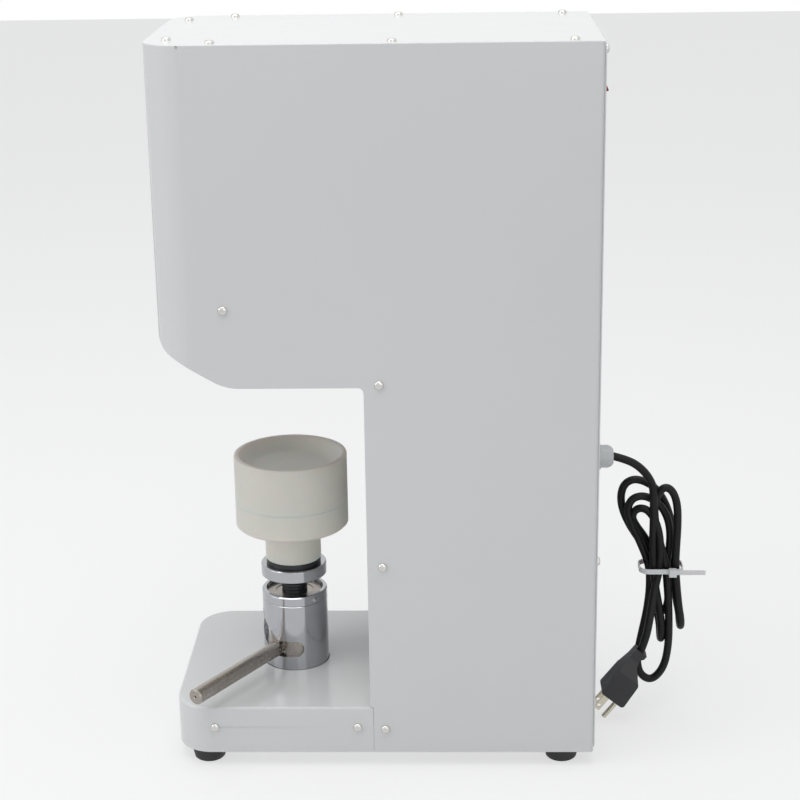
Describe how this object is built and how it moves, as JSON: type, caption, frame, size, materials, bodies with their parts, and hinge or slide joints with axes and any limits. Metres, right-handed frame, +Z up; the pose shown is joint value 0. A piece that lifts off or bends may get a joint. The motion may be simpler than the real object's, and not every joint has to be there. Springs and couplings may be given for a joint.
{
  "type": "can seamer",
  "caption": "Bench-top can seamer: white C-shaped sheet-steel machine, lever-lifted nylon can tray on a chrome pedestal, open-bottomed head with spinning chuck and two seaming rollers.",
  "frame": {"origin": "bottom centre of the machine's bounding box, on the surface it stands on, with the power cord left out", "axes": "+Z up, the front of the machine faces -Y, the side with the lever's free end is +X"},
  "size_m": [0.2422, 0.4967, 0.6566],
  "materials": {
    "white_powder_coat": "satin white powder coat",
    "steel_frame": "zinc-plated steel plate",
    "chrome": "polished chrome plate",
    "stainless": "turned stainless steel",
    "black_oxide": "black oxide steel",
    "bright_screws": "nickel-plated screws",
    "white_nylon": "natural white nylon",
    "black_rubber": "moulded black rubber",
    "cord_black": "black PVC cord",
    "gland_grey": "light grey nylon",
    "black_plastic": "black plastic",
    "red_plastic": "dark red rocker",
    "green_plastic": "green push button",
    "tie_white": "white nylon tie",
    "belt_rubber": "toothed rubber belt",
    "motor_grey": "cast aluminium housing",
    "bronze": "bronze washer",
    "brass_pins": "nickel-plated brass pins"
  },
  "bodies": {
    "machine": {"case_shell": "white_powder_coat", "top_cover": "white_powder_coat", "back_panel": "white_powder_coat", "column_front": "white_powder_coat", "base_cover": "white_powder_coat", "base_chassis": "steel_frame", "frame_upright_left": "steel_frame", "frame_upright_right": "steel_frame", "head_plate": "steel_frame", "frame_bolts": "bright_screws", "rubber_feet": "black_rubber", "side_screws": "bright_screws", "top_screws": "bright_screws", "back_screws": "bright_screws", "pedestal_sleeve": "chrome", "sleeve_collar": "chrome", "collar_set_screw": "bright_screws", "spindle_housing": "steel_frame", "spindle_bearings": "stainless", "drive_belt": "belt_rubber", "motor": "motor_grey", "arm_pivots": "stainless", "cam_gearmotor": "motor_grey", "switch_frame": "black_plastic", "button_housing": "stainless", "control_box": "black_plastic", "cord_gland": "gland_grey", "gland_nut": "gland_grey", "power_cord_lead": "cord_black", "power_cord_hank": "cord_black", "power_cord_tail": "cord_black", "cord_tie": "tie_white", "plug_body": "black_plastic", "plug_pins": "brass_pins"},
    "lift": {"thrust_washer": "bronze", "lift_nut": "stainless"},
    "handle": {"lift_piston": "stainless", "lift_lever": "stainless"},
    "rod": {"threaded_rod": "black_oxide", "tray_bearing": "stainless"},
    "ring": {"lock_ring": "chrome"},
    "tray": {"tray_base": "white_nylon", "tray_cup": "white_nylon"},
    "spindle_rotor": {"spindle": "stainless", "seaming_chuck": "stainless", "chuck_screw": "bright_screws", "driven_pulley": "motor_grey"},
    "motor_rotor": {"motor_shaft": "stainless", "drive_pulley": "motor_grey"},
    "arm_one": {"arm_first": "steel_frame", "arm_pins_first": "stainless"},
    "arm_two": {"arm_second": "steel_frame", "arm_pins_second": "stainless"},
    "roller_one": {"roller_first": "stainless"},
    "roller_two": {"roller_second": "stainless"},
    "cam": {"arm_cam": "stainless"},
    "rocker": {"switch_rocker": "red_plastic"},
    "button": {"start_button": "green_plastic"}
  },
  "joints": [
    {"name": "tray_lift", "type": "slide", "parent": "machine", "child": "lift", "axis": [0, 0, 1], "range_m": [0, 0.0266]},
    {"name": "lever_turn", "type": "hinge", "parent": "lift", "child": "handle", "pos_m": [-0.01102, -0.09425, 0.08], "axis": [0, 0, -1], "range_deg": [0, 64]},
    {"name": "tray_height", "type": "slide", "parent": "lift", "child": "rod", "axis": [0, 0, 1], "range_m": [-0.003, 0.016]},
    {"name": "lock_ring_travel", "type": "slide", "parent": "rod", "child": "ring", "axis": [0, 0, 1], "range_m": [-0.008, 0]},
    {"name": "tray_spin", "type": "hinge", "parent": "rod", "child": "tray", "pos_m": [-0.01102, -0.09425, 0.2665], "axis": [0, 0, 1], "continuous": true},
    {"name": "spindle_spin", "type": "hinge", "parent": "machine", "child": "spindle_rotor", "pos_m": [-0.01102, -0.09425, 0.412], "axis": [0, 0, 1], "continuous": true},
    {"name": "motor_spin", "type": "hinge", "parent": "machine", "child": "motor_rotor", "pos_m": [-0.01102, 0.10235, 0.496], "axis": [0, 0, 1], "continuous": true},
    {"name": "cam_turn", "type": "hinge", "parent": "machine", "child": "cam", "pos_m": [-0.01102, 0.00885, 0.43], "axis": [0, 0, 1], "range_deg": [-35, 35]},
    {"name": "arm_one_swing", "type": "hinge", "parent": "machine", "child": "arm_one", "pos_m": [0.04698, -0.04225, 0.43], "axis": [0, 0, 1], "range_deg": [-5, 5]},
    {"name": "arm_two_swing", "type": "hinge", "parent": "machine", "child": "arm_two", "pos_m": [-0.06902, -0.04225, 0.43], "axis": [0, 0, 1], "range_deg": [-5, 5]},
    {"name": "roller_one_spin", "type": "hinge", "parent": "arm_one", "child": "roller_one", "pos_m": [0.03998, -0.09425, 0.411], "axis": [0, 0, 1], "continuous": true},
    {"name": "roller_two_spin", "type": "hinge", "parent": "arm_two", "child": "roller_two", "pos_m": [-0.06202, -0.09425, 0.411], "axis": [0, 0, 1], "continuous": true},
    {"name": "power_switch", "type": "hinge", "parent": "machine", "child": "rocker", "pos_m": [0.02898, 0.18255, 0.613], "axis": [-1, 0, 0], "range_deg": [0, 20]},
    {"name": "start_press", "type": "slide", "parent": "machine", "child": "button", "axis": [0, 1, 0], "range_m": [0, 0.0025], "stiffness_N_per_m": 800, "springref_m": -0.001}
  ],
  "couplings": [
    {"joint": "tray_lift", "follows": "lever_turn", "m_per_rad": 0.023814},
    {"joint": "motor_spin", "follows": "spindle_spin", "ratio": 1.9},
    {"joint": "arm_one_swing", "follows": "cam_turn", "ratio": -0.13354},
    {"joint": "arm_two_swing", "follows": "cam_turn", "ratio": -0.13354}
  ]
}
